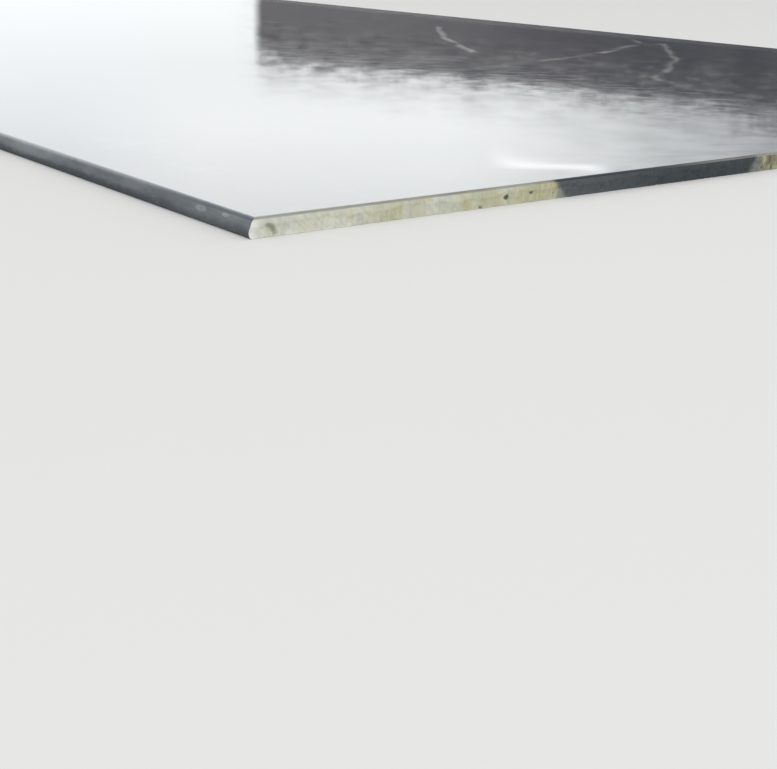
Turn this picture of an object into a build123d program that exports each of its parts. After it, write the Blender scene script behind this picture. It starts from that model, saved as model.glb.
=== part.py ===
"""Hot-rolled steel plate, cut to length from coil: one solid piece of raw stock.

It lies flat. The origin is at the centre of the underside, X runs across the width, Y along the
rolling direction and Z up through the thickness. The two long edges are as the mill rolled them,
and the two short ends are sheared. All sizes are in millimetres.
"""

import os

from build123d import *

# The plate
thickness = 16.0
width = 1500.0
length = 6000.0

# A rolled long edge, from its widest point: a long crown above a flat land, a short belly below
crown_reach = 6.5
belly_reach = 2.5
belly_height = 4.5
edge_land = 1.0

# A sheared end, from the face that the blade enters: rollover, burnished band, torn fracture
rollover_reach = 2.4
rollover_depth = 1.6
burnish_height = 4.6
fracture_lean = 1.1
fracture_hollow = 0.3

# What follows from them
half_width = width / 2
half_length = length / 2
half_thickness = thickness / 2
land_top = belly_height + edge_land
crown_height = thickness - land_top
burnish_top = half_thickness - rollover_depth
burnish_bottom = burnish_top - burnish_height

with BuildPart() as steel_plate:
    # The rolled strip, which runs on past both cuts: the right half of its outline, from the
    # underside up, then mirrored
    belly_centre = (half_width - belly_reach, belly_height)
    crown_centre = (half_width - crown_reach, land_top)
    with BuildSketch(Plane.XZ.offset(-length)):
        with BuildLine():
            belly = EllipticalCenterArc(belly_centre, belly_reach, belly_height, start_angle=270)
            crown = EllipticalCenterArc(crown_centre, crown_reach, crown_height, start_angle=0)
            Line((0, 0), belly @ 0)
            Line(belly @ 1, crown @ 0)
            Line(crown @ 1, (0, thickness))
            mirror(about=Plane.YZ)
        make_face()
    extrude(amount=2 * length)

    # The sheared ends, seen from the side about the middle of the thickness: the near end is cut
    # from above and the far end from below, so one is the other after half a turn
    torn_edge = (-half_length + fracture_lean, -half_thickness)
    rollover_centre = (-half_length + rollover_reach, burnish_top)
    far_rollover_edge = (half_length - rollover_reach, -half_thickness)
    beside_plate = Plane(origin=(-width, 0, half_thickness), x_dir=(0, 1, 0), z_dir=(1, 0, 0))
    with BuildSketch(beside_plate):
        with BuildLine(mode=Mode.PRIVATE) as near_half:
            fracture = SagittaArc(torn_edge, (-half_length, burnish_bottom), -fracture_hollow)
            rollover = EllipticalCenterArc(rollover_centre, rollover_reach, rollover_depth, start_angle=90)
            Line(far_rollover_edge, fracture @ 0)
            Line(fracture @ 1, rollover @ 1)
        with BuildLine():
            with PolarLocations(radius=0, count=2):
                add(near_half.line)
        make_face()
    extrude(amount=2 * width, mode=Mode.INTERSECT)

steel_plate.part.label = "steel_plate"

os.makedirs("parts", exist_ok=True)
export_step(steel_plate.part, "parts/steel_plate.step")

size = steel_plate.part.bounding_box().size
print(f"steel_plate: {size.X:.1f} x {size.Y:.1f} x {size.Z:.1f} mm, {len(steel_plate.part.solids())} solid")
print(f"volume {steel_plate.part.volume / 1e6:.3f} litres")
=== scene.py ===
# %% [markdown]
# A hot-rolled steel plate, dressed for a photograph.
#
# The plate is 16 mm thick, 1.5 m wide and 6 m long. It was rolled as one long strip and then cut
# by shears, so it has two kinds of edge: two long ones that the rolls left round and blue-grey,
# and two short ones where the shears tore bare metal open. Its top carries a film of water that
# mirrors whatever stands round it. The frame gives the plate's size and place in metres, and its
# shape below is worked out from them.

import math

import bpy
import numpy as np
from mathutils import Matrix, Vector, geometry, noise


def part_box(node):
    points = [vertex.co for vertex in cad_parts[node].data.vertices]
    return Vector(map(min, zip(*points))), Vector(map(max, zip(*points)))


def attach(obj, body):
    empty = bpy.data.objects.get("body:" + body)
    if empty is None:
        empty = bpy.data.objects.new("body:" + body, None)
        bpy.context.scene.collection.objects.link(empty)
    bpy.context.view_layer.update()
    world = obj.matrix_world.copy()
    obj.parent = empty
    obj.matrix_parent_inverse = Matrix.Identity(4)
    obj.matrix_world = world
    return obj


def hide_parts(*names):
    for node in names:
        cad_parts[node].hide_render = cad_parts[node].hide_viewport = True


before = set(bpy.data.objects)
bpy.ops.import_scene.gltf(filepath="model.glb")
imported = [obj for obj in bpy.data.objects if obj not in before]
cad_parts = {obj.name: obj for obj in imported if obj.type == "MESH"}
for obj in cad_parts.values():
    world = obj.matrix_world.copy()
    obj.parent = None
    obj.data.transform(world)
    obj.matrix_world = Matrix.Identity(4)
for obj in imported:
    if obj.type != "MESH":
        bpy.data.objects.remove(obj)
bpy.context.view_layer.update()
low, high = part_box("steel_plate")
width, length, thickness = high - low
print("plate", [round(side, 4) for side in (width, length, thickness)], "metres")

# %% [markdown]
# The camera stands a little above the plate, close to one corner, and looks along it with the
# sheared end running off to the right. A camera can be placed by eye, but here its place was
# worked out from the straight edges in the picture, so the edges of the model fall where the
# edges of the real plate do. Headings are turned clockwise from the plate's length.

# %% Camera
near_corner = Vector((low.x, low.y, high.z))
camera_from_corner = Vector((-0.5183, -0.9070, 0.2127))
camera_heading = math.radians(35.42)
camera_dip = math.radians(18.11)
camera_roll = math.radians(0.54)
picture_width = 777
focal_length_in_pixels = 1434.7
sensor_width = 36.0

camera = bpy.data.objects.new("camera", bpy.data.cameras.new("camera"))
bpy.context.scene.collection.objects.link(camera)
camera.data.sensor_fit = "HORIZONTAL"
camera.data.sensor_width = sensor_width
camera.data.lens = sensor_width * focal_length_in_pixels / picture_width
camera.data.clip_start = 0.02
camera.data.clip_end = 400
camera.matrix_world = (
    Matrix.Translation(near_corner + camera_from_corner)
    @ Matrix.Rotation(-camera_heading, 4, "Z")
    @ Matrix.Rotation(math.pi / 2 - camera_dip, 4, "X")
    @ Matrix.Rotation(camera_roll, 4, "Z")
)
bpy.context.scene.camera = camera
bpy.context.scene.view_settings.view_transform = "Standard"
print("camera at", [round(place, 3) for place in camera.location])
print("lens", round(camera.data.lens, 1), "mm")

# %% [markdown]
# Shader maths reads best as plain arithmetic. The class below wraps one output socket of a node,
# and each operator adds the Math node that works it out, so `1 - wet` or `grain * 0.4` are written
# as they are said. Any other node comes from `node`, which first makes the node's own settings
# and then fills its sockets with numbers or with other wrapped sockets.

# %% A socket that can be calculated with
class Wire:
    """One output of a shader node, with arithmetic that adds Math nodes."""

    def __init__(self, tree, socket):
        self.tree = tree
        self.socket = socket

    def node(self, kind, settings, sockets, output=0):
        """A new node of the same tree, as the Wire of one of its outputs."""
        made = self.tree.nodes.new(kind)
        for name, value in settings.items():
            setattr(made, name, value)
        for key, value in sockets.items():
            if isinstance(value, Wire):
                self.tree.links.new(value.socket, made.inputs[key])
            else:
                made.inputs[key].default_value = value
        return Wire(self.tree, made.outputs[output])

    def math(self, operation, first, second):
        return self.node("ShaderNodeMath", {"operation": operation}, {0: first, 1: second})

    def __add__(self, other):
        return self.math("ADD", self, other)

    def __radd__(self, other):
        return self.math("ADD", other, self)

    def __sub__(self, other):
        return self.math("SUBTRACT", self, other)

    def __rsub__(self, other):
        return self.math("SUBTRACT", other, self)

    def __mul__(self, other):
        return self.math("MULTIPLY", self, other)

    def __rmul__(self, other):
        return self.math("MULTIPLY", other, self)

    def most(self, other):
        """The larger of two values."""
        return self.math("MAXIMUM", self, other)

    def over(self, start, end):
        """0 before start and 1 past end, with a smooth step between; start may be the larger."""
        sockets = {"Value": self, "From Min": start, "From Max": end}
        return self.node("ShaderNodeMapRange", {"interpolation_type": "SMOOTHSTEP"}, sockets)

    def between(self, start, end, soft):
        """1 from start to end and 0 outside, with steps that reach soft to either side."""
        return self.over(start - soft, start + soft) * self.over(end + soft, end - soft)

    def tint(self, dark, light):
        """The colour dark where this is 0 and light where it is 1; each is a colour or a Wire."""
        colours = [c if isinstance(c, Wire) else (*c, 1) for c in (dark, light)]
        sockets = {0: self, 6: colours[0], 7: colours[1]}
        return self.node("ShaderNodeMix", {"data_type": "RGBA"}, sockets, 2)

    def axis(self, name):
        """One of the X, Y and Z parts of a place or direction."""
        return self.node("ShaderNodeSeparateXYZ", {}, {0: self}, name)

    def scaled(self, x, y, z):
        """A place stretched or squeezed along the plate's axes."""
        return self.node("ShaderNodeVectorMath", {"operation": "MULTIPLY"}, {0: self, 1: (x, y, z)})

    def grain(self, size, detail=3.0, roughness=0.55, shift=0.0):
        """Soft noise from about 0.2 to 0.8, in blotches about size across; each shift differs."""
        shifted = self.node("ShaderNodeVectorMath", {"operation": "ADD"}, {0: self, 1: (shift,) * 3})
        sockets = {"Vector": shifted, "Scale": 1 / size, "Detail": detail, "Roughness": roughness}
        return self.node("ShaderNodeTexNoise", {}, sockets)

    def near(self, spot, radius):
        """1 within radius of a spot, falling smoothly to 0 at twice the radius."""
        away = self.node("ShaderNodeVectorMath", {"operation": "DISTANCE"}, {0: self, 1: spot}, "Value")
        return away.over(2 * radius, radius)


def new_material(name):
    """A material, its Principled shader, and the place on the plate in metres."""
    material = bpy.data.materials.new(name)
    material.use_nodes = True
    tree = material.node_tree
    shader = tree.nodes["Principled BSDF"]
    place = Wire(tree, tree.nodes.new("ShaderNodeTexCoord").outputs["Object"])
    return material, shader, place


def feed(shader, **sockets):
    """Fills the shader's sockets: Base_Color stands for Base Color."""
    for name, value in sockets.items():
        socket = shader.inputs[name.replace("_", " ")]
        if isinstance(value, Wire):
            value.tree.links.new(value.socket, socket)
        else:
            socket.default_value = value


def raised(height):
    """The Normal of a surface raised by height, in metres."""
    return height.node("ShaderNodeBump", {}, {"Height": height, "Distance": 1.0})


print("shader helpers ready")

# %% [markdown]
# The plate lies on a plain pale floor in a white studio, lit by the white all round it and by one
# large lamp off to the front. The lamp stands more in front of the sheared end than of the long
# edge, so the end shines and the edge stays darker, which tells the two apart at once.

# %% Floor and lamp
floor_radius = 60.0
floor_colour = (0.79, 0.79, 0.78)
floor_drop = 0.0002
lamp_from_corner = Vector((-3.2, -7.5, 5.2))
lamp_power = 330.0
lamp_size = 5.0

bpy.ops.mesh.primitive_circle_add(
    vertices=96, radius=floor_radius, fill_type="NGON", location=(0, 0, low.z - floor_drop)
)
floor = bpy.context.object
floor.name = "floor"
floor_material, floor_shader, _ = new_material("pale_floor")
feed(floor_shader, Base_Color=(*floor_colour, 1), Roughness=0.9, Specular_IOR_Level=0.1)
floor.data.materials.append(floor_material)

lamp = bpy.data.objects.new("front_lamp", bpy.data.lights.new("front_lamp", "AREA"))
bpy.context.scene.collection.objects.link(lamp)
lamp.data.energy = lamp_power
lamp.data.size = lamp_size
lamp.location = near_corner + lamp_from_corner
lamp.rotation_euler = (-lamp_from_corner).to_track_quat("-Z", "Y").to_euler()
print("floor", floor_radius, "m and one lamp of", lamp_power, "W")

# %% [markdown]
# A wet plate seen this low is a mirror, so what stands low round the studio matters more than any
# lamp. If it were all white, the whole top would come out blank. So the world has tones of its
# own for mirror rays: a pale wall, greyer and faintly streaked on the right, and a low dark side.
# Each direction is read as a heading and as its rise, from 0 when level to 1 straight up. Noise
# that is squeezed along Z comes out as level streaks, which is how a flat mirror smears things.

# %% The pale wall
wall_left = (1.02, 1.06, 1.09)
wall_middle = (1.17, 1.20, 1.20)
wall_low = (1.02, 1.05, 1.05)
wall_right = (0.60, 0.63, 0.65)
deep_grey = (0.073, 0.075, 0.087)
left_headings = (-40, 25, 4)
right_headings = (45, 95, 8)

world = bpy.data.worlds.new("white_studio")
world.use_nodes = True
bpy.context.scene.world = world
world_nodes = world.node_tree.nodes
toward = Wire(world.node_tree, world_nodes.new("ShaderNodeTexCoord").outputs["Generated"])
rise = toward.axis("Z")
heading = toward.math("ARCTAN2", toward.axis("X"), toward.axis("Y"))
streaks = toward.scaled(1, 1, 14).grain(0.05, 3.0, 0.6, 7.0)
ripples = toward.scaled(1, 1, 9).grain(0.022, 4.0, 0.6, 3.0)

to_left = heading.between(*(math.radians(turn) for turn in left_headings))
to_right = heading.between(*(math.radians(turn) for turn in right_headings))
wall = to_left.tint(rise.over(0.09, 0.15).tint(wall_low, wall_middle), wall_left)
wall = to_right.tint(wall, wall_right)
wall = (streaks.over(0.42, 0.66) * to_right * 0.4).tint(wall, deep_grey)
print("the wall is", max(wall_middle), "bright in the middle and", max(wall_right), "on the right")

# %% [markdown]
# The dark side begins at one heading and its upper end, the brink, climbs towards the right. In
# the plate it becomes the deep grey strip along the far edge. A ruled brink would look wrong, so
# noise makes it ragged and a thin haze hangs above it. One narrow bright patch of the wall is
# there because the water throws it back as a glare near the sheared end.

# %% The brink, the haze and the bright patch
dark_from = math.radians(30.2)
dark_height = 0.094
dark_climb = 0.088
ragged_by = 0.034
frayed_by = 0.010
haze_height = 0.03
mid_grey = (0.26, 0.26, 0.26)
patch_from = math.radians(38.7)
patch_headings = (0.018, 0.09)
patch_rises = (0.1498, 0.1551)
patch_climb = 0.115
patch_colour = (1.54, 1.57, 1.57)

past = heading - dark_from
brink = dark_height + dark_climb * past + (ripples - 0.5) * ragged_by
brink = brink + (toward.scaled(1, 1, 3).grain(0.016, 4.0, 0.65) - 0.5) * frayed_by
hazy = rise.over(brink + haze_height, brink) * past.over(-0.02, 0.02) * ripples.over(0.35, 0.6)
wall = (hazy * 0.4).tint(wall, mid_grey)

past_patch = heading - patch_from
patch_rise = rise - patch_climb * past_patch + (ripples - 0.5) * 0.004
in_patch = past_patch.between(*patch_headings, 0.012) * patch_rise.between(*patch_rises, 0.003)
wall = in_patch.tint(wall, patch_colour)
print("dark side from", round(math.degrees(dark_from), 1), "degrees,", dark_height, "high there")

# %% [markdown]
# The dark side is a warm grey on the left and a bluer one on the right, with a faint shimmer
# below its brink. Short level dashes, some dark and some lighter, lie across the brink, as when
# ripples break up a mirrored line.

# %% The dark side and its dashes
warm_grey = (0.152, 0.149, 0.158)
brink_softness = 0.005
shimmer_depth = 0.035
dashes_below = 0.034
dashes_above = 0.014

low_down = rise.over(brink + brink_softness, brink - brink_softness)
dark_side = past.between(0, 1.5, 0.004)
dark = (past.over(0.05, 0.3) + (streaks - 0.5) * 1.5).tint(warm_grey, deep_grey)
shimmer = rise.over(brink - shimmer_depth, brink) * ripples.over(0.40, 0.62)
shimmer = shimmer + streaks.over(0.54, 0.68) * 0.5
dark = (shimmer * 0.65).tint(dark, mid_grey)
mirrored = (low_down * dark_side).tint(wall, dark)

dashes = toward.scaled(1, 1, 7).grain(0.014, 3.0, 0.6, 21.0)
below = rise.over(brink - dashes_below, brink - 0.012)
above = rise.over(brink + dashes_above, brink - 0.002)
by_brink = below * above * dark_side
mirrored = (by_brink * dashes.over(0.50, 0.62) * 0.8).tint(mirrored, deep_grey)
mirrored = (by_brink * dashes.over(0.46, 0.36) * 0.8).tint(mirrored, mid_grey)
print("dashes from", dashes_below, "below the brink to", dashes_above, "above it")

# %% [markdown]
# None of those tones should colour the light or the backdrop. A Light Path node tells which kind
# of ray is asking: mirror rays get the tones, camera rays a plain pale backdrop, and all others an
# even white that lights the plate softly.

# %% Who sees what
world_for_light = 0.80
world_behind = 0.92

is_camera = Wire(world.node_tree, world_nodes.new("ShaderNodeLightPath").outputs["Is Camera Ray"])
is_mirror = Wire(world.node_tree, world_nodes.new("ShaderNodeLightPath").outputs["Is Glossy Ray"])
plain = is_camera.tint((world_for_light,) * 3, (world_behind,) * 3)
seen = is_mirror.tint(plain, mirrored)
world.node_tree.links.new(seen.socket, world_nodes["Background"].inputs["Color"])
print("the world has", len(world_nodes), "nodes")

# %% [markdown]
# Now the shape. Cut the plate level at any height and the cut is a rectangle, because the long
# edges are one profile swept along the length and the ends are another swept across the width.
# So the whole rim can be made as a stack of rectangular loops, one for each height, joined by
# quads like the hoops of a barrel. Each point of a loop then knows its height and how far along
# its side it is, which is all that the wear of real steel needs.
#
# First come the two profiles: how far the surface stands in from the widest point at a height.

# %% The profile of a rolled long edge
crown_reach = 0.0065
belly_reach = 0.0025
belly_height = 0.0045
edge_land = 0.001
land_top = belly_height + edge_land
crown_height = thickness - land_top


def quarter_round(share):
    """From 0 to 1 along a quarter of an ellipse, as share goes from 0 to 1."""
    return 1 - np.sqrt(np.clip(1 - np.square(np.clip(share, 0, 1)), 0, 1))


def rolled_inset(height):
    """How far a rolled edge stands in at a height, in metres."""
    crown = crown_reach * quarter_round((height - land_top) / crown_height)
    belly = belly_reach * quarter_round((belly_height - height) / belly_height)
    return crown + belly


print("a rolled edge stands in by", round(1000 * float(rolled_inset(thickness)), 2), "mm at the top")

# %% [markdown]
# The shears leave three bands on an end. The blade first drags the skin down in a small round,
# then polishes a band as it sinks in, and then the rest breaks away with a rough face that leans
# inwards. Where the polished band ends wanders along the cut, so its height is an argument here
# and can differ from point to point.

# %% The profile of a sheared end
rollover_reach = 0.0024
rollover_depth = 0.0016
burnish_height = 0.0046
fracture_lean = 0.0011
fracture_hollow = 0.0003
burnish_top = thickness - rollover_depth
usual_burnish_bottom = burnish_top - burnish_height


def sheared_inset(height, burnish_bottom):
    """How far a sheared end stands in at a height; its polished band ends at burnish_bottom."""
    rollover = rollover_reach * quarter_round((height - burnish_top) / rollover_depth)
    torn = np.clip((burnish_bottom - height) / burnish_bottom, 0, 1)
    return rollover + fracture_lean * torn + fracture_hollow * 4 * torn * (1 - torn)


print("the polished band ends", round(1000 * usual_burnish_bottom, 1), "mm above the underside")

# %% [markdown]
# Real profiles waver. Blender's Perlin noise gives the same value for the same place each time,
# so it needs no seed. `waver` reads it along a line, and `grit` over a face. Both are smooth, so
# points that are close together move together and the mesh stays clean.

# %% Noise on lines and faces
def waver(along, size, lane):
    """Smooth noise from about -0.5 to 0.5 along a line; each lane is a different one."""
    return np.array([noise.noise(Vector((a / size, lane, 0.5))) for a in along])


def grit(along, height, size, lane, stretch=1.0):
    """Smooth noise from about -0.5 to 0.5 over a face, with blotches stretch times as tall."""
    places = zip(along / size, height / (size * stretch))
    return np.array([noise.noise(Vector((a, h, lane))) for a, h in places])


print("noise at one place:", round(float(waver([0.1], 0.02, 3)[0]), 3))

# %% [markdown]
# The loops need points close together where the camera comes near, and fewer where it doesn't.
# The near end gets one every 0.9 mm for its first 0.45 m and every 1.7 mm after that. Along the
# 6 m sides the steps start small at both ends and widen towards the middle.

# %% Where the points of a loop lie
close_step = 0.0009
plain_step = 0.0017
close_run = 0.45
side_points = 430
side_bunching = 1.5


def steps(run, step):
    """Shares of a run that is walked in equal steps, from 0 up to but without 1."""
    return np.linspace(0, 1, round(run / step), endpoint=False)


close_share = close_run / width
near_shares = np.concatenate(
    [close_share * steps(close_run, close_step),
     close_share + (1 - close_share) * steps(width - close_run, plain_step)]
)
far_shares = steps(width, plain_step)
bunched = np.linspace(-1, 1, side_points, endpoint=False)
side_shares = 0.5 + 0.5 * np.tanh(side_bunching * bunched) / math.tanh(side_bunching)
loop_size = len(near_shares) + len(far_shares) + 2 * side_points

round_angles = np.radians([90, 84, 74, 62, 48, 32, 16, 0])
rollover_heights = burnish_top + rollover_depth * np.sin(round_angles)
burnish_heights = np.linspace(burnish_top, usual_burnish_bottom, 5)[1:]
torn_heights = usual_burnish_bottom * (1 - np.linspace(0, 1, 11)[1:-1])
foot_heights = [0.00045, 0.00012, 0.0]
loop_heights = np.concatenate([rollover_heights, burnish_heights, torn_heights, foot_heights])
quad_rows = len(loop_heights) - 1
print(len(loop_heights), "loops of", loop_size, "points")

# %% [markdown]
# Pits and torn-out crumbs mark the sheared ends. The near end has next to none by the corner and
# many further on. A slanting nick, made of five dents that run into each other, and three single
# pits have their own places. The rest are drawn by chance, most of them small and low down, and
# more of them to the right. Each is a soft dent with a crooked outline. The mesh really sinks
# there, and the depth is also kept on the points as a number for the material to read later,
# because dirt sits in the dents.

# %% Pits of a sheared end
pit_count = 150
pit_seed = 7
pit_radius = (0.0009, 0.0025)
pit_depth = (0.0004, 0.0012)
crowd_right = 0.8
crowd_small = 2
crowd_low = 1.4
pit_aspect = (0.6, 1.3)
pit_lowest = 0.04
pit_spread = 0.62
near_pits_from = 0.28
pit_bend = 0.001
pit_bend_size = 0.0022
nick = [
    (0.0150, 0.0098, 0.0030, 0.0018, 0.0004),
    (0.0174, 0.0088, 0.0034, 0.0024, 0.0005),
    (0.0194, 0.0072, 0.0034, 0.0027, 0.0005),
    (0.0210, 0.0052, 0.0034, 0.0029, 0.0005),
    (0.0224, 0.0030, 0.0032, 0.0028, 0.0004),
]
single_pits = [
    (0.2463, 0.0066, 0.0034, 0.0026, 0.0011),
    (0.2729, 0.0082, 0.0026, 0.0019, 0.0008),
    (0.2189, 0.0010, 0.0028, 0.0014, 0.0007),
]


def make_pits(seed, start):
    """Rows of place along, height, half width, half height and depth, in metres."""
    draw = np.random.default_rng(seed)
    along = start + (width - start) * draw.random(pit_count) ** crowd_right
    share = draw.random(pit_count) ** crowd_small
    wide = pit_radius[0] + (pit_radius[1] - pit_radius[0]) * share
    tall = wide * draw.uniform(*pit_aspect, pit_count)
    height = thickness * (pit_lowest + pit_spread * draw.random(pit_count) ** crowd_low)
    depth = pit_depth[0] + (pit_depth[1] - pit_depth[0]) * wide / pit_radius[1]
    return np.stack([along, height, wide, tall, depth], axis=1)


def pit_sink(along, height, pits):
    """How deep the pits sink each point, in metres."""
    sink = np.zeros(len(along))
    bent_along = along + pit_bend * grit(along, height, pit_bend_size, 71)
    bent_height = height + pit_bend * grit(along, height, pit_bend_size, 72)
    for middle, level, wide, tall, depth in pits:
        close = np.abs(bent_along - middle) < wide
        sideways = (bent_along[close] - middle) / wide
        upwards = (bent_height[close] - level) / tall
        sink[close] = np.maximum(sink[close], depth * np.clip(1 - (sideways**2 + upwards**2), 0, 1))
    return sink


near_pits = np.array(nick + single_pits + make_pits(pit_seed, near_pits_from).tolist())
far_pits = make_pits(pit_seed + 1, 0)
print(len(near_pits), "pits on the near end,", len(far_pits), "on the far end")

# %% [markdown]
# A rolled edge only wanders a little, slowly and then more quickly, as the strip ran between the
# rolls. A sheared end is rougher. The lower end of its polished band wanders too, the torn metal
# below it has coarse and fine lumps, and here and there a small burr hangs at the foot. Each name
# that ends in size tells how long one swing of that noise is.

# %% The two kinds of side
slow_wander = 0.0002
slow_size = 0.9
quick_wander = 0.00016
quick_size = 0.11
band_wander = 0.0024
band_size = 0.019
band_flutter = 0.0013
flutter_size = 0.005
coarse_lumps = 0.0007
coarse_size = 0.0042
fine_lumps = 0.0004
fine_size = 0.0018
burr_reach = 0.0008
burr_size = 0.012
burr_height = 0.0006
torn_softness = 0.0012


def rolled_side(along, height, lane):
    """How far a rolled edge stands in, along a long side, in metres."""
    slow = slow_wander * (waver(along, slow_size, lane) + 0.5)
    quick = quick_wander * (waver(along, quick_size, lane + 1) + 0.5)
    return np.maximum(rolled_inset(height) + (slow + quick), 0)


def sheared_side(along, height, pits, lane):
    """How far a sheared end stands in, and how deep its pits are, along a short side."""
    wander = band_wander * waver(along, band_size, lane)
    flutter = band_flutter * waver(along, flutter_size, lane)
    burnish_bottom = usual_burnish_bottom + wander + flutter
    torn = np.clip((burnish_bottom - height) / torn_softness, 0, 1)
    coarse = coarse_lumps * (grit(along, height, coarse_size, lane, 1.6) + 0.5)
    fine = fine_lumps * (grit(along, height, fine_size, lane) + 0.5)
    at_foot = np.clip(1 - height / burr_height, 0, 1)
    burr = burr_reach * at_foot * np.clip(waver(along, burr_size, lane + 5) + 0.15, 0, 1)
    pit = pit_sink(along, height, pits) * np.clip((thickness - height) / rollover_depth, 0, 1)
    inset = sheared_inset(height, burnish_bottom) + torn * (coarse + fine) - burr + pit
    return np.maximum(inset, 0), pit


left_edge = rolled_side(np.linspace(low.y, high.y, 200), land_top, 41)
print("the left edge wanders by", round(1000 * float(np.ptp(left_edge)), 2), "mm")

# %% [markdown]
# Each loop starts at the near left corner and runs anticlockwise: near end, right side, far end,
# left side. The far end was sheared from below, so its profile is read upside down. The corners
# come first. Each side is then spread between its two corners and pushed in by its own profile.

# %% Build the loops
def loop_at(height):
    """The points of one loop and their pit depths, anticlockwise from the near left corner."""
    edge = float(rolled_inset(height))
    left, right = low.x + edge, high.x - edge
    front = low.y + float(sheared_inset(height, usual_burnish_bottom))
    back = high.y - float(sheared_inset(thickness - height, usual_burnish_bottom))

    across = left + (right - left) * near_shares
    level = np.full(len(across), height)
    inset, near_pit = sheared_side(across - low.x, level, near_pits, 11)
    near_side = np.stack([across, low.y + inset], axis=1)

    along = front + (back - front) * side_shares
    right_side = np.stack([high.x - rolled_side(along, height, 21), along], axis=1)

    across = right + (left - right) * far_shares
    level = np.full(len(across), thickness - height)
    inset, far_pit = sheared_side(high.x - across, level, far_pits, 31)
    far_side = np.stack([across, high.y - inset], axis=1)

    along = back + (front - back) * side_shares
    left_side = np.stack([low.x + rolled_side(along, height, 41), along], axis=1)

    unpitted = np.zeros(side_points)
    outline = np.concatenate([near_side, right_side, far_side, left_side])
    pit = np.concatenate([near_pit, unpitted, far_pit, unpitted])
    return np.column_stack([outline, np.full(loop_size, low.z + height)]), pit


loops = [loop_at(height) for height in loop_heights]
rim_points = np.concatenate([points for points, _ in loops])
rim_pits = np.concatenate([pit for _, pit in loops])
print(len(rim_points), "points on the rim")

# %% Join the loops with quads
def rim_quads():
    """Quads between each loop and the one below it, facing outwards."""
    here = np.arange(loop_size)
    ahead = np.roll(here, -1)
    quads = []
    for row in range(quad_rows):
        upper, lower = row * loop_size, (row + 1) * loop_size
        quads.append(np.stack([upper + here, lower + here, lower + ahead, upper + ahead], axis=1))
    return np.concatenate(quads)


quads = rim_quads()
print(len(quads), "quads on the rim")

# %% [markdown]
# Where water dries back on scale it leaves a thin pale line. Three of them wander over the right
# half of the plate, from half a metre to a metre and a half in from the near end. Each is a row of
# points down its middle with a row on either side, woven into the top. The middle row carries a 1
# that the material turns into pale deposit, and the side rows a 0, so the line fades out within
# its own width.

# %% Tide lines on the top
tide_paths = [
    [(0.525, -1.542), (0.438, -1.670), (0.352, -1.806), (0.290, -1.925), (0.246, -2.003)],
    [(0.250, -2.182), (0.300, -2.166), (0.375, -2.145), (0.444, -2.131), (0.530, -2.062),
     (0.578, -2.048)],
    [(0.657, -1.974), (0.600, -2.045), (0.600, -2.070), (0.650, -2.048), (0.560, -2.150),
     (0.440, -2.280), (0.330, -2.372), (0.225, -2.446), (0.198, -2.490), (0.203, -2.515)],
]
tide_step = 0.007
tide_half_widths = (0.010, 0.015, 0.010)
tide_lanes = (61, 62, 63)
tide_wobble = 0.006


def rounded(path):
    """The path with its corners cut off, three times over, which leaves a smooth curve."""
    path = np.array(path)
    for _ in range(3):
        before, after = path[:-1], path[1:]
        cuts = np.stack([0.75 * before + 0.25 * after, 0.25 * before + 0.75 * after], axis=1)
        path = np.concatenate([path[:1], cuts.reshape(-1, 2), path[-1:]])
    return path


def tide_rows(path, half_width, lane):
    """The middle row of a tide line and its two side rows."""
    path = rounded(path)
    travelled = np.concatenate([[0], np.cumsum(np.hypot(*np.diff(path, axis=0).T))])
    at = np.arange(0, travelled[-1], tide_step)
    middle = np.column_stack([np.interp(at, travelled, path[:, part]) for part in (0, 1)])
    ahead = np.gradient(middle, axis=0)
    across = np.column_stack([-ahead[:, 1], ahead[:, 0]]) / np.hypot(*ahead.T)[:, None]
    wobble = tide_wobble * (waver(at, 0.09, lane) + 0.5 * waver(at, 0.03, lane))
    middle = middle + across * wobble[:, None]
    return middle, middle + across * half_width, middle - across * half_width


tides = [tide_rows(*line) for line in zip(tide_paths, tide_half_widths, tide_lanes)]
tide_middle = np.concatenate([middle for middle, _, _ in tides])
tide_sides = np.concatenate([beside for _, one, other in tides for beside in (one, other)])
print(len(tide_middle), "points down the middle of", len(tides), "tide lines")

# %% [markdown]
# The top and the underside are all but flat, and big. A film of water shows the smallest swell as
# a bend in its mirror image, so the top has real, very shallow waves, held on a grid of points.
# The waves only go down from the plate's full height and die out towards the rim. Between the
# dense rim and the open grid, a constrained Delaunay triangulation finds the triangles, which
# saves working out by hand how the many points of the rim meet the few of the grid.

# %% Fill the top and the underside
top_step = 0.024
underside_step = 0.08
wave_depth = 0.0007
wave_sizes = (0.85, 0.33)
calm_rim = 0.05
tide_gap = 0.017
inside_only = 1
merge_distance = 1e-7


def waves(flat):
    """How far the wet top lies below its full height, in metres."""
    x, y = flat.T
    from_rim = np.minimum(np.minimum(x - low.x, high.x - x), np.minimum(y - low.y, high.y - y))
    calm = np.clip((from_rim - calm_rim) / (2 * calm_rim), 0, 1)
    long_wave = grit(x, y, wave_sizes[0], 51, 1.5)
    short_wave = grit(x, y, wave_sizes[1], 52, 1.3)
    return wave_depth * calm * np.clip(0.5 + 0.75 * long_wave + 0.25 * short_wave, 0, 1)


def grid(step):
    """Points in rows and columns, about step apart, that keep clear of the rim."""
    margin = crown_reach + step / 2
    xs = np.linspace(low.x + margin, high.x - margin, round(width / step))
    ys = np.linspace(low.y + margin, high.y - margin, round(length / step))
    return np.stack(np.meshgrid(xs, ys), axis=-1).reshape(-1, 2)


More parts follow.
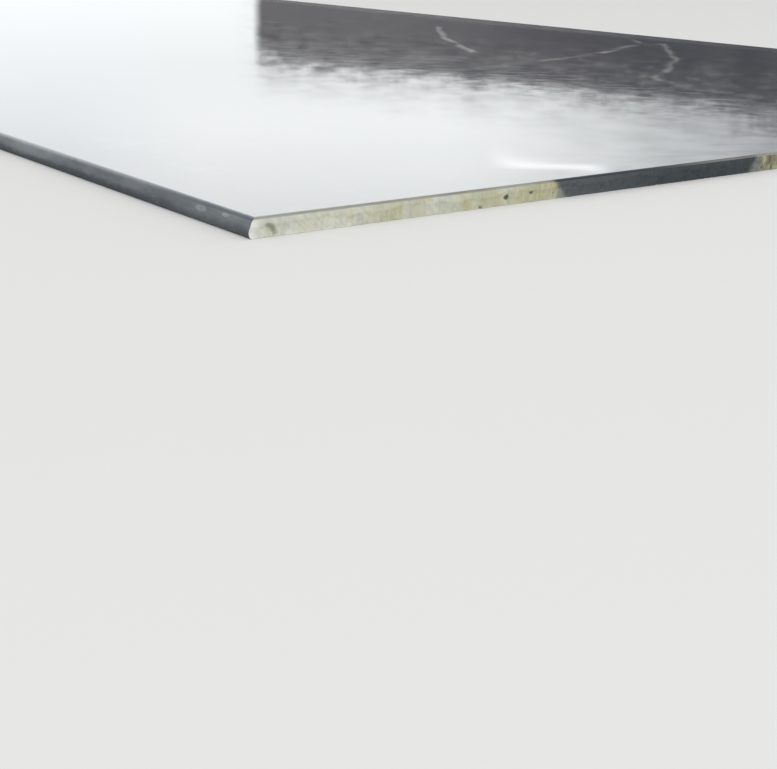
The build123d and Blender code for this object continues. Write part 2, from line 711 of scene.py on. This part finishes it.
def fill(outline, inner):
    """Triangles over the outline and the points inside it, numbered in that order."""
    flat = [Vector(point) for point in np.concatenate([outline[:, :2], inner])]
    border = [list(range(len(outline)))]
    result = geometry.delaunay_2d_cdt(flat, [], border, inside_only, merge_distance)
    _, _, triangles, kept, _, _ = result
    first = [ids[0] for ids in kept]
    return np.array([[first[corner] for corner in triangle] for triangle in triangles])


open_grid = grid(top_step)
to_tide = np.hypot(*(open_grid[:, None] - tide_middle[None]).transpose(2, 0, 1)).min(axis=1)
top_inner = np.concatenate([tide_middle, tide_sides, open_grid[to_tide > tide_gap]])
underside_inner = grid(underside_step)
top_triangles = fill(rim_points[:loop_size], top_inner)
underside_triangles = fill(rim_points[-loop_size:], underside_inner)
top_points = np.column_stack([top_inner, high.z - waves(top_inner)])
underside_points = np.column_stack([underside_inner, np.full(len(underside_inner), low.z)])
print(len(top_triangles), "triangles on top,", len(underside_triangles), "below")

# %% [markdown]
# The parts are put together as one closed mesh. The fill numbered its triangles as if the rim came
# first and its own points after, so both fills are renumbered to the shared list. The underside is
# turned over so that it faces down. Shading is smooth, apart from sharp lines where the rim meets
# the two big faces and at the four corners: otherwise the mirror would bend near the rim.

# %% Put the plate together
def renumber(triangles, outline_start, own_start):
    """Fill triangles, numbered rim first, as indices into the shared list of points."""
    return np.where(triangles < loop_size, triangles + outline_start, triangles - loop_size + own_start)


points = np.concatenate([rim_points, top_points, underside_points])
top_start = len(rim_points)
underside_start = top_start + len(top_points)
top_faces = renumber(top_triangles, 0, top_start)
underside_faces = renumber(underside_triangles, top_start - loop_size, underside_start)[:, ::-1]

mesh = bpy.data.meshes.new("dressed_plate")
mesh.from_pydata(points.tolist(), [], quads.tolist() + top_faces.tolist() + underside_faces.tolist())
plate = bpy.data.objects.new("dressed_plate", mesh)
bpy.context.scene.collection.objects.link(plate)
mesh.polygons.foreach_set("use_smooth", [True] * len(mesh.polygons))
triangle_count = sum(len(face.vertices) - 2 for face in mesh.polygons)
print(len(mesh.vertices), "points,", triangle_count, "triangles")

# %% Mark the sharp lines
ends = np.array([pair.vertices[:] for pair in mesh.edges])
side_starts = np.cumsum([0, len(near_shares), side_points, len(far_shares)])
side_of_column = np.searchsorted(side_starts, np.arange(loop_size), side="right") - 1
on_rim = (ends < len(rim_points)).all(axis=1)
column = ends % loop_size
row = ends // loop_size
at_corner = on_rim & np.isin(column[:, 0], side_starts) & (column[:, 0] == column[:, 1])
outermost = on_rim & (row[:, 0] == row[:, 1]) & np.isin(row[:, 0], [0, quad_rows])
neighbours = np.isin(np.abs(column[:, 0] - column[:, 1]), [1, loop_size - 1])
sharp = at_corner | (outermost & neighbours)
mesh.edges.foreach_set("use_edge_sharp", sharp)
print(int(sharp.sum()), "sharp edges")

# %% Keep pits and tide lines on the points
def keep(name, start, values):
    """A number on each point for the materials: values from point number start, 0 elsewhere."""
    numbers = np.zeros(len(points), dtype=np.float32)
    numbers[start : start + len(values)] = values
    mesh.attributes.new(name, "FLOAT", "POINT").data.foreach_set("value", numbers)
    print(name, "on", int((numbers > 0).sum()), "points")


keep("pit", 0, np.clip(rim_pits / pit_depth[1], 0, 1))
keep("tide", top_start, np.ones(len(tide_middle)))

# %% [markdown]
# When the model is saved for other programs, its materials are painted into one square picture,
# and a UV map says which part of the picture each face gets. A map that shared it out by area
# would leave the thin edges a few pixels, though they are what a plate is looked at for. So this
# map is laid out in the code: the top takes the left half, the underside a narrow band on the right,
# and each side of the rim is cut into a few lengths that stand next to each other in between.

# %% A map that favours the edges
top_share = 0.5
underside_start_u = 0.81
lengths_per_side = np.array([4, 3, 4, 3])
length_pitch = 0.022
length_width = 0.019
map_margin = 0.02


def flat_map(flat, from_u, to_u):
    """Places of a big face's points in a band of the picture, as tall as the picture."""
    share = (flat - (low.x, low.y)) / (width, length)
    return np.column_stack([from_u + (to_u - from_u) * share[:, 0], share[:, 1]])


def rim_map():
    """Places of the corners of the rim's quads, side by side in lengths."""
    starts = np.concatenate([near_shares, side_shares, far_shares, side_shares])
    stops = np.roll(starts, -1)
    stops = np.where(stops < starts, 1, stops)
    cuts = lengths_per_side[side_of_column]
    piece = np.floor(cuts * (starts + stops) / 2)
    before = np.concatenate([[0], np.cumsum(lengths_per_side)])[side_of_column] + piece
    left = top_share + map_margin / 4 + length_pitch * before
    low_v = map_margin + (1 - 2 * map_margin) * (cuts * starts - piece)
    high_v = map_margin + (1 - 2 * map_margin) * (cuts * stops - piece)
    corners = []
    for row in range(quad_rows):
        upper = left + length_width * row / quad_rows
        lower = left + length_width * (row + 1) / quad_rows
        corners.append(np.stack([upper, low_v, lower, low_v, lower, high_v, upper, high_v], axis=1))
    return np.concatenate(corners).reshape(-1, 2)


top_map = flat_map(points[top_faces.ravel(), :2], 0, top_share - map_margin / 4)
underside_map = flat_map(points[underside_faces.ravel(), :2], underside_start_u, 1)
uv = np.concatenate([rim_map(), top_map, underside_map])
mesh.uv_layers.new(name="OFBake").data.foreach_set("uv", uv.ravel().astype(np.float32))
print("map of", len(uv), "corners from", uv.min(axis=0).round(3), "to", uv.max(axis=0).round(3))

# %% [markdown]
# Three finishes cover the plate. The first is mill scale, a hard skin of iron oxide: bluish grey
# with brown clouds and red and green specks, drawn out along the rolling direction. Its colour is
# built up from soft noise of several sizes, each one a mask that tints what is there already.

# %% The colour of mill scale
scale_grey = (0.155, 0.145, 0.155)
scale_blue = (0.125, 0.137, 0.155)
scale_brown = (0.115, 0.093, 0.090)
scale_pink = (0.235, 0.200, 0.200)
scale_red = (0.185, 0.105, 0.090)
scale_green = (0.115, 0.138, 0.125)


def scale_colour(patches, blotch, speck, mottle, drawn):
    """Bluish grey, with each of the other tones where its own mask is strong."""
    colour = blotch.over(0.38, 0.62).tint(scale_grey, scale_blue)
    colour = (patches.over(0.46, 0.60) * 0.8).tint(colour, scale_brown)
    colour = (blotch.over(0.52, 0.7) * patches.over(0.5, 0.42) * 0.7).tint(colour, scale_pink)
    colour = (drawn.over(0.5, 0.68) * 0.35).tint(colour, scale_grey)
    colour = (mottle.over(0.56, 0.72) * 0.35).tint(colour, scale_pink)
    colour = (mottle.over(0.42, 0.3) * 0.4).tint(colour, scale_brown)
    colour = (speck.over(0.58, 0.68) * 0.5).tint(colour, scale_red)
    return (speck.over(0.42, 0.32) * 0.5).tint(colour, scale_green)


print("mill scale goes from", min(scale_brown), "where brown to", max(scale_pink), "where pink")

# %% [markdown]
# Over the small round of a sheared end the scale is always dry and worn: greyer by the corner and
# mauve further on. One stretch of the near end is dark, and the round is dark with it, though
# less so towards the far end of the stretch.

# %% Worn scale on the round of a sheared end
scale_dry = (0.225, 0.185, 0.187)
scale_worn = (0.33, 0.335, 0.30)
scale_dark = (0.034, 0.042, 0.052)
dark_start = 0.314
dark_end = 0.546


def near_half(y):
    """1 on the near half of the plate's length and 0 on the far half."""
    return y.over(0.1, -0.1)


def round_colour(from_corner, y, blotch):
    """The colour of the scale on the round, from the distance to the corner."""
    mauve = blotch.over(0.40, 0.60) * (0.15 + 0.4 * from_corner.over(0.02, 0.25))
    darkened = from_corner.between(dark_start - 0.016, dark_end + 0.006, 0.004) * near_half(y)
    darkened = darkened * (1 - 0.6 * from_corner.over(0.40, 0.52))
    return darkened.tint(mauve.tint(scale_worn, scale_dry), scale_dark)


print("the dark stretch is", round(dark_end - dark_start, 3), "m long")

# %% [markdown]
# Wet, the scale is dark and glossy, and the film is a clear coat over it. Dry, it is rough and
# mauve. The far half dries first and keeps islands of water. A pale deposit marks the rims of the
# water, the tide lines and a faint margin along the edge on the right. The film is never quite
# flat, so it gets a low swell all over and a finer chop in one place near the sheared end.

# %% Mill scale, wet and dry
deposit = (0.40, 0.39, 0.36)
top_heights = (0.010, 0.013)
round_clear = 0.0035
drying_run = (-0.7, 2.3)
wet_levels = (0.27, 0.295)
rim_levels = (0.262, 0.272)
margin_widths = (0.105, 0.055)
margin_fade = (-1.9, -2.6)
choppy_across = (-0.06, 0.16)
choppy_along = (-1.2, -1.7)
swell_height = 0.00012
chop_height = 0.00025


def mill_scale():
    material, shader, place = new_material("mill_scale")
    x, y, z = (place.axis(name) for name in "XYZ")
    clouds = place.scaled(1, 0.5, 1).grain(0.42, 6.0, 0.62)
    patches = place.scaled(1, 0.35, 1).grain(0.8, 7.0, 0.62, 3.7)
    blotch = place.scaled(1, 0.6, 1).grain(0.06, 5.0, 0.65, 2.2)
    speck = place.scaled(1, 0.6, 1).grain(0.022, 5.0, 0.7, 12.0)
    mottle = place.grain(0.009, 4.0, 0.6)
    drawn = place.scaled(1, 0.04, 1).grain(0.035, 4.0, 0.55, 8.0)

    level = clouds - y.over(*drying_run) * 0.36 + (blotch - 0.5) * 0.1
    on_top = z.over(*top_heights)
    off_the_round = y.between(low.y + round_clear, high.y - round_clear, 0.0008)
    wet = level.over(*wet_levels) * on_top * off_the_round
    rim_of_wet = level.between(*rim_levels, 0.006) * on_top
    colour = scale_colour(patches, blotch, speck, mottle, drawn)
    colour = ((1 - wet) * (0.35 + 0.4 * clouds.over(0.35, 0.6))).tint(colour, scale_dry)
    colour = (1 - off_the_round).tint(colour, round_colour(x - low.x, y, blotch))

    tide = place.node("ShaderNodeAttribute", {"attribute_name": "tide"}, {}, "Fac")
    tide = tide * (place.grain(0.04, 3.0, 0.6, 4.4).over(0.30, 0.62) * 0.3 + mottle * 0.15)
    to_edge = high.x - x + (clouds - 0.5) * 0.10 + (blotch - 0.5) * 0.06 + (mottle - 0.5) * 0.03
    margin = to_edge.over(*margin_widths) * on_top * (0.02 + speck * 0.24)
    margin = margin * (1 - 0.5 * y.over(*margin_fade))
    pale = tide.most(rim_of_wet * mottle * 0.9).most(margin)
    colour = pale.tint(colour, deposit)
    wet = wet * (1 - pale)

    swell = place.grain(0.07, 2.0, 0.5, 5.0) * swell_height
    choppy = (x + (blotch - 0.5) * 0.2).between(*choppy_across, 0.06) * y.over(*choppy_along)
    chop = place.grain(0.03, 3.0, 0.55, 1.3) * choppy * chop_height
    bumps = swell + chop + (1 - wet) * mottle * 0.000025 + drawn * 0.00003
    roughness = (1 - wet) * (0.32 + 0.22 * mottle) + wet * (0.03 + 0.05 * drawn) + pale * 0.2
    metal = 0.88 - 0.25 * (1 - wet) - 0.4 * pale
    feed(shader, Base_Color=colour, Metallic=metal, Roughness=roughness,
         Coat_Weight=wet, Coat_Roughness=0.02, Coat_IOR=1.4, Normal=raised(bumps))
    return material


scale_material = mill_scale()
print(scale_material.name, "has", len(scale_material.node_tree.nodes), "nodes")

# %% [markdown]
# The rolled edge keeps the same scale, but the edge rolls worked it smoother and it dries first.
# It is blue-grey with long faint streaks, and darker low down with painted shade. The film of water
# laps over its top. Near the corner the painted shade low down is paler, a dark lip runs along the
# top, and two pale scuffs have places of their own.

# %% Rolled edge
edge_grey = (0.082, 0.090, 0.104)
edge_light = (0.190, 0.209, 0.220)
# edge_low is the colour of the painted shade low on the edge; the dark lip takes it too.
edge_low = (0.041, 0.049, 0.064)
corner_run = (-2.75, -2.95)
low_heights = (0.0095, 0.0035)
lip_heights = (0.0136, 0.0157)
film_heights = (0.0130, 0.0158)
scuff = (0.32, 0.33, 0.32)
scuff_stretch = 0.28
scuffs = (((-0.7494, -2.9225, 0.0110), 0.0017), ((-0.7485, -2.9610, 0.0120), 0.0011))


def rolled_edge():
    material, shader, place = new_material("rolled_edge")
    y, z = place.axis("Y"), place.axis("Z")
    drift = place.scaled(1, 0.25, 1).grain(0.03, 5.0, 0.65)
    streaks = place.scaled(1, 0.03, 1).grain(0.0026, 3.0, 0.6)
    speck = place.scaled(1, 0.5, 1).grain(0.005, 4.0, 0.65, 2.0)
    by_corner = y.over(*corner_run)
    colour = (drift.over(0.34, 0.66) * 0.75 + streaks * 0.25).tint(edge_grey, edge_light)
    # Painted shade: the edge turns darker towards its foot, less so near the corner.
    painted_low_shade = (z + (speck - 0.5) * 0.008 + (drift - 0.5) * 0.008).over(*low_heights)
    colour = (painted_low_shade * (0.95 - 0.45 * by_corner)).tint(colour, edge_low)
    colour = (speck.over(0.64, 0.74) * 0.4).tint(colour, scuff)

    stretched = place.scaled(1, scuff_stretch, 1)
    for (spot_x, spot_y, spot_z), radius in scuffs:
        close = stretched.near((spot_x, scuff_stretch * spot_y, spot_z), radius)
        colour = ((close * (0.2 + 2.4 * (speck - 0.2))).over(0.2, 1.2) * 0.7).tint(colour, scuff)
    lip = (z + (speck - 0.5) * 0.001).between(*lip_heights, 0.0006) * by_corner
    colour = (lip * 0.6).tint(colour, edge_low)

    wet = (z + (speck - 0.5) * 0.003).over(*film_heights) * (1 - lip * 0.7)
    bumps = streaks * 0.00006 + speck * 0.00005
    feed(shader, Base_Color=colour, Metallic=0.75, Roughness=0.38 + 0.2 * speck - 0.3 * wet,
         Coat_Weight=wet, Coat_Roughness=0.1, Coat_IOR=1.4, Normal=raised(bumps))
    return material


edge_material = rolled_edge()
print(edge_material.name, "has", len(edge_material.node_tree.nodes), "nodes")

# %% [markdown]
# The sheared end is bare metal: pale where it is fresh, with straw and tan tints of first rust
# that grow with the distance from the corner. Faint upright scores follow the blade. Dirt fills
# the pits, and grime lies over the far part of the cut.

# %% The colour of bare metal
bare_pale = (0.69, 0.70, 0.63)
bare_grey = (0.515, 0.525, 0.46)
# The next colour is a painted highlight for the corner of the end.
painted_corner_highlight = (0.80, 0.81, 0.77)
rust_straw = (0.49, 0.475, 0.27)
rust_tan = (0.49, 0.40, 0.20)
stain_olive = (0.24, 0.25, 0.17)


def bare_colour(from_corner, y, broad, patch, fine, upright, slanted):
    """Bare metal with its rust, stains and scores, and a painted highlight at the corner."""
    age = 0.14 - near_half(y) * from_corner.over(0.45, 0.0) * 0.16
    colour = (patch * 0.6 + slanted * 0.4).over(0.36, 0.62).tint(bare_grey, bare_pale)
    rusted = (broad * 0.6 + patch * 0.4 + age).over(0.42, 0.66)
    colour = (rusted * 0.85).tint(colour, rust_straw)
    colour = ((patch + age).over(0.58, 0.72) * fine.over(0.35, 0.6) * 0.6).tint(colour, rust_tan)
    colour = ((broad + age).over(0.40, 0.72) * 0.25).tint(colour, stain_olive)
    colour = (upright.over(0.48, 0.66) * 0.2).tint(colour, bare_pale)
    colour = (upright.over(0.42, 0.3) * 0.2).tint(colour, stain_olive)
    # A painted highlight brightens the last centimetre of the end by the corner.
    return (from_corner.over(0.012, 0.002) * 0.7).tint(colour, painted_corner_highlight)


print("bare metal goes from", max(stain_olive), "where stained to", max(painted_corner_highlight), "by the corner")

# %% [markdown]
# One stretch of the near end, about a quarter of a metre long, is dark grey from top to bottom.
# It has slanting ends and a paler grey border, and it starts a little lighter than it goes on.

# %% The dark stretch
dark_start_slant = 1.05
dark_end_slant = -0.4
dark_border = (0.185, 0.195, 0.195)
dark_near = (0.066, 0.077, 0.092)
dark_deep = (0.021, 0.031, 0.043)


def with_dark_stretch(colour, from_corner, y, z, patch, upright):
    """The colour with the dark stretch and its border laid over it."""
    ragged = from_corner + (patch - 0.5) * 0.008
    past_start = (ragged + z * dark_start_slant).over(dark_start - 0.004, dark_start + 0.005)
    before_end = (ragged + z * dark_end_slant).over(dark_end + 0.004, dark_end - 0.004)
    marked = past_start * before_end * near_half(y)
    border = ragged.between(dark_start - 0.012, dark_end + 0.014, 0.003) * near_half(y)
    colour = (border * 0.75).tint(colour, dark_border)
    dark = from_corner.over(0.32, 0.46).tint(dark_near, dark_deep)
    dark = ((patch * 0.5 + upright * 0.5).over(0.35, 0.75) * 0.12).tint(dark, stain_olive)
    return (marked * 0.97).tint(colour, dark)


print("its start slants by", round(1000 * dark_start_slant * thickness, 1), "mm from top to bottom")

# %% Sheared end
pit_dirt = (0.06, 0.06, 0.042)
grimy_from = (0.50, 0.56)


def sheared_end():
    material, shader, place = new_material("sheared_end")
    x, y, z = (place.axis(name) for name in "XYZ")
    from_corner = x - low.x
    broad = place.scaled(1, 1, 0.6).grain(0.05, 4.0, 0.6)
    patch = place.scaled(1, 1, 0.7).grain(0.012, 4.0, 0.65, 4.0)
    fine = place.grain(0.0026, 4.0, 0.65, 9.0)
    upright = place.scaled(1, 1, 0.1).grain(0.0022, 3.0, 0.6, 6.0)
    leaning = place.node("ShaderNodeCombineXYZ", {}, {0: x + z * 1.1, 2: z * 0.15})
    slanted = leaning.grain(0.005, 3.0, 0.6)
    colour = bare_colour(from_corner, y, broad, patch, fine, upright, slanted)

    pit = place.node("ShaderNodeAttribute", {"attribute_name": "pit"}, {}, "Fac")
    colour = (pit.over(0.0, 0.2) * 0.5).tint(colour, stain_olive)
    colour = (pit.over(0.15, 0.6) * 0.85).tint(colour, pit_dirt)
    grimy = from_corner.over(*grimy_from) * (1.1 - 0.35 * from_corner.over(0.6, 1.0))
    grime = (patch * 0.55 + broad * 0.25 + upright * 0.2).over(0.64, 0.40) * grimy
    colour = (grime * 0.85).tint(colour, pit_dirt)
    colour = with_dark_stretch(colour, from_corner, y, z, patch, upright)

    bumps = fine * 0.00016 + upright * 0.00004 + slanted * 0.00008
    feed(shader, Base_Color=colour, Metallic=0.3, Roughness=0.48 + 0.2 * fine, Normal=raised(bumps))
    return material


end_material = sheared_end()
print(end_material.name, "has", len(end_material.node_tree.nodes), "nodes")

# %% [markdown]
# Each face is told which finish it wears. Scale covers the two big faces and, because the blade
# drags the skin down with it, the small round of each sheared end.

# %% Give each face its finish
for material in (scale_material, edge_material, end_material):
    mesh.materials.append(material)
scale_slot, edge_slot, end_slot = range(3)

quad_row = np.repeat(np.arange(quad_rows), loop_size)
side = np.tile(side_of_column, quad_rows)
quad_height = (loop_heights[:-1] + loop_heights[1:])[quad_row] / 2
skin = np.where(side == 0, quad_height > burnish_top, quad_height < rollover_depth)
finish = np.where(side % 2 == 1, edge_slot, np.where(skin, scale_slot, end_slot))
slots = np.concatenate([finish, np.full(len(top_faces) + len(underside_faces), scale_slot)])
mesh.polygons.foreach_set("material_index", slots.astype(np.int32))
mesh.update()
print({material.name: int((slots == index).sum()) for index, material in enumerate(mesh.materials)})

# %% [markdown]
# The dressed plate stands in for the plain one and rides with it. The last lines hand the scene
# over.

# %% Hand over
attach(plate, "root")
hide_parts("steel_plate")

bpy.context.view_layer.update()
